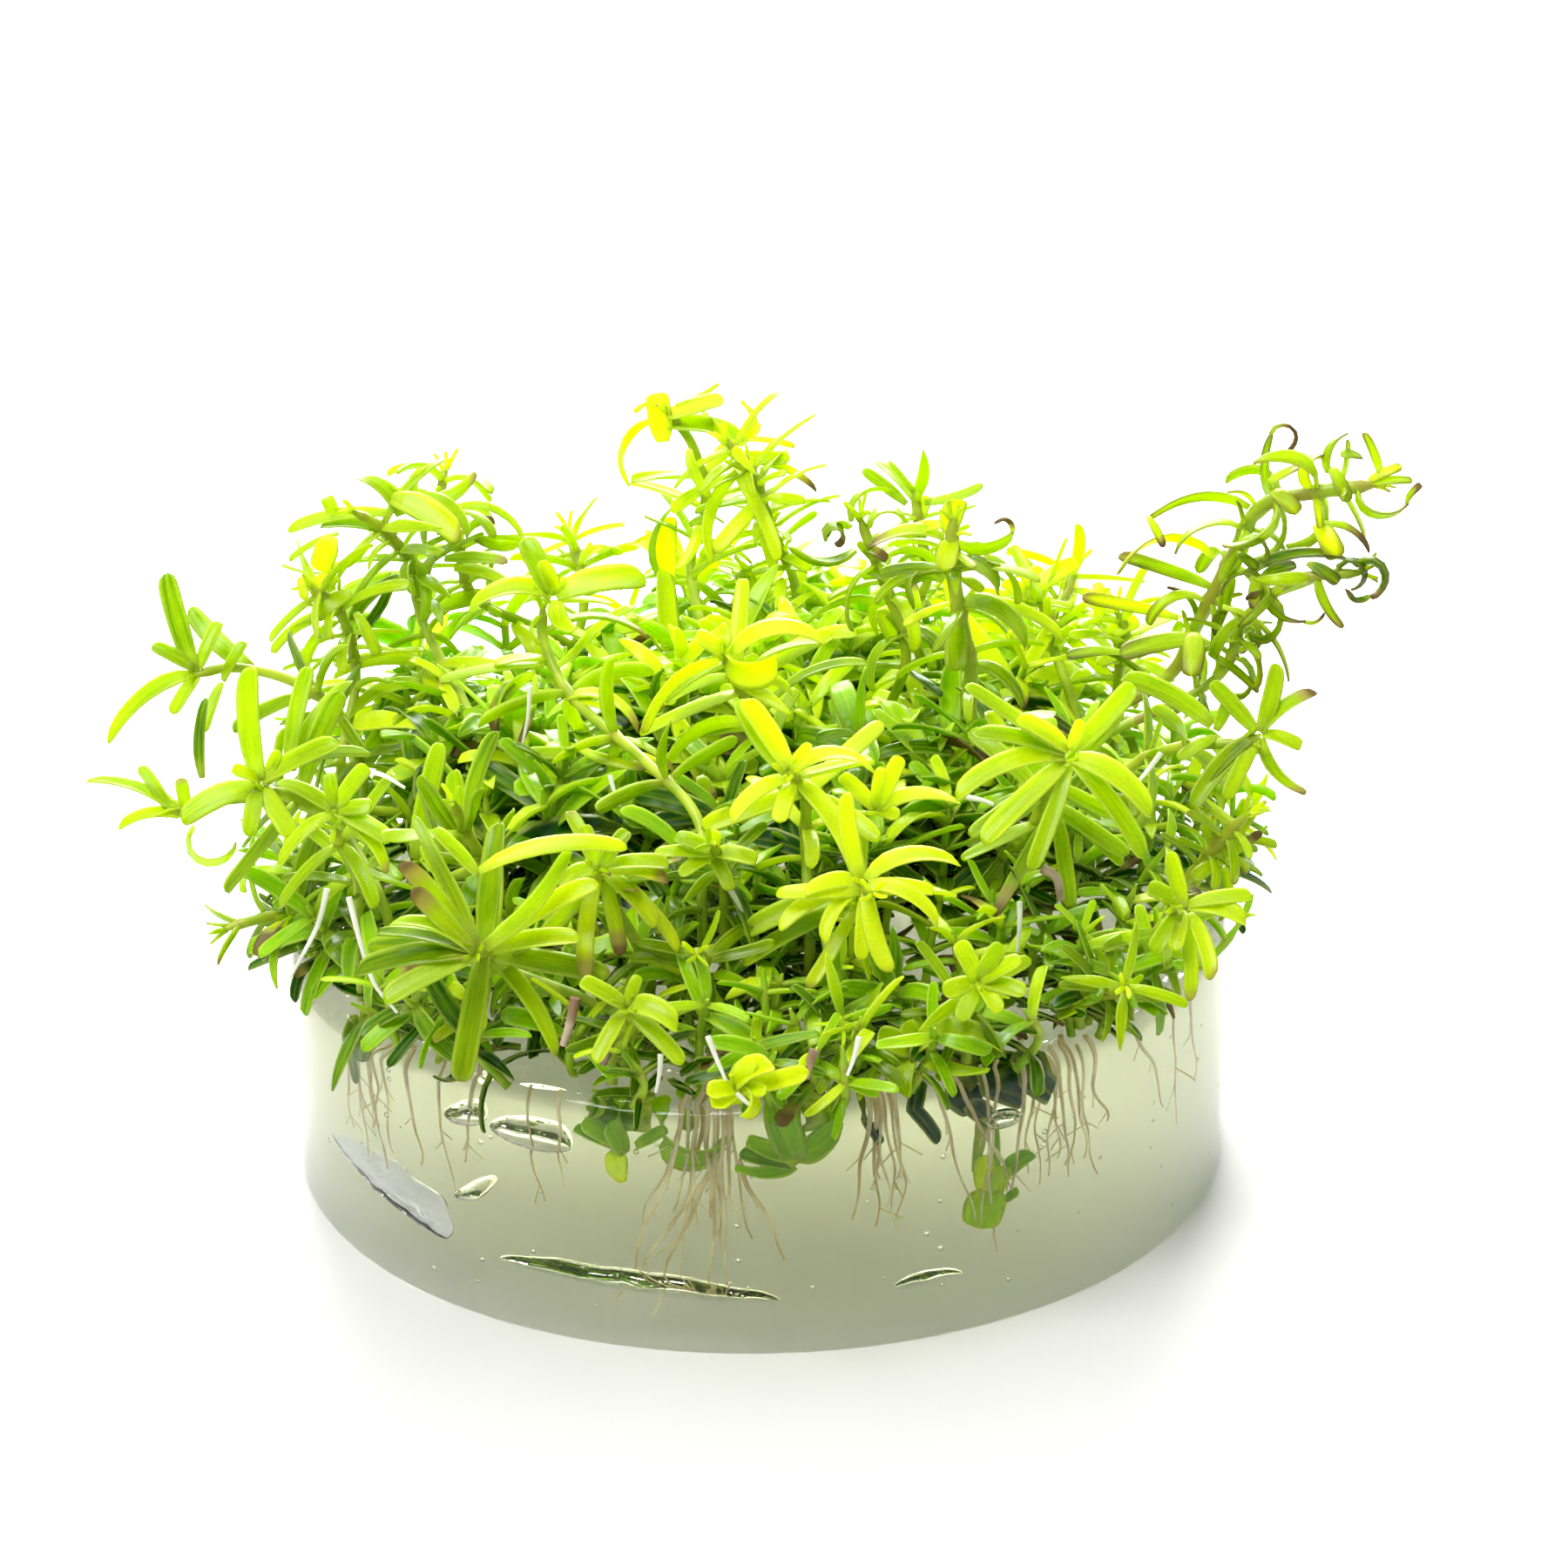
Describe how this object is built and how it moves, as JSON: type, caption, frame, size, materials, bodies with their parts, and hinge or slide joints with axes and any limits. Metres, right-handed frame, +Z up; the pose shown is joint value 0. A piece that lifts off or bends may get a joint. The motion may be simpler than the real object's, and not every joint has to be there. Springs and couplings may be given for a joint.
{
  "type": "tissue culture aquarium plant on a gel block",
  "caption": "Dense stand of fine, strap-leaved rotala stem plants grown in tissue culture, rooted in a round block of clear nutrient gel.",
  "frame": {"origin": "centre of the gel block's flat underside", "axes": "+Z up out of the gel, -Y towards the side with the lowest front shoots, +X towards the long arching shoot"},
  "size_m": [0.109, 0.0876, 0.0633],
  "materials": {
    "gel": "clear, faintly grey-green nutrient gel with a wet surface",
    "shoots": "waxy, bright yellow-green leaves that let light through, some tips brown",
    "undergrowth": "waxy, deeper green small leaves in shade",
    "roots": "pale, slightly see-through fine roots"
  },
  "bodies": {
    "root": {"gel_block": "gel", "roots_back": "roots", "roots_front": "roots", "roots_front_right": "roots", "roots_left": "roots", "roots_right": "roots", "shoot_back_small": "shoots", "shoot_behind_left": "shoots", "shoot_behind_right": "shoots", "shoot_bright_cross": "shoots", "shoot_centre_small": "shoots", "shoot_curled": "shoots", "shoot_front_left_inner": "shoots", "shoot_front_left_low": "shoots", "shoot_front_left_star": "shoots", "shoot_front_left_upright": "shoots", "shoot_front_low": "shoots", "shoot_front_middle": "shoots", "shoot_front_right": "shoots", "shoot_front_right_low": "shoots", "shoot_front_right_outer": "shoots", "shoot_front_star": "shoots", "shoot_left_cross": "shoots", "shoot_left_high": "shoots", "shoot_left_low": "shoots", "shoot_left_outer": "shoots", "shoot_left_rosette": "shoots", "shoot_left_sprig": "shoots", "shoot_middle": "shoots", "shoot_right_arch": "shoots", "shoot_right_arch_side": "shoots", "shoot_right_back_inner": "shoots", "shoot_right_back_outer": "shoots", "shoot_right_edge": "shoots", "shoot_right_low": "shoots", "shoot_right_middle": "shoots", "shoot_right_rosette": "shoots", "shoot_tall_back_left": "shoots", "shoot_tall_back_right": "shoots", "shoot_thick": "shoots", "shoot_upper_left_back": "shoots", "shoot_upper_left_front": "shoots", "shoot_upper_left_outer": "shoots", "sprig_sunk_deep": "shoots", "sprig_sunk_left": "shoots", "sprig_sunk_middle": "shoots", "tuft_back": "undergrowth", "tuft_back_left": "undergrowth", "tuft_back_right": "undergrowth", "tuft_centre_back": "undergrowth", "tuft_centre_front": "undergrowth", "tuft_centre_left": "undergrowth", "tuft_centre_right": "undergrowth", "tuft_front": "undergrowth", "tuft_front_left": "undergrowth", "tuft_front_right": "undergrowth", "tuft_left": "undergrowth", "tuft_right": "undergrowth"}
  },
  "joints": []
}
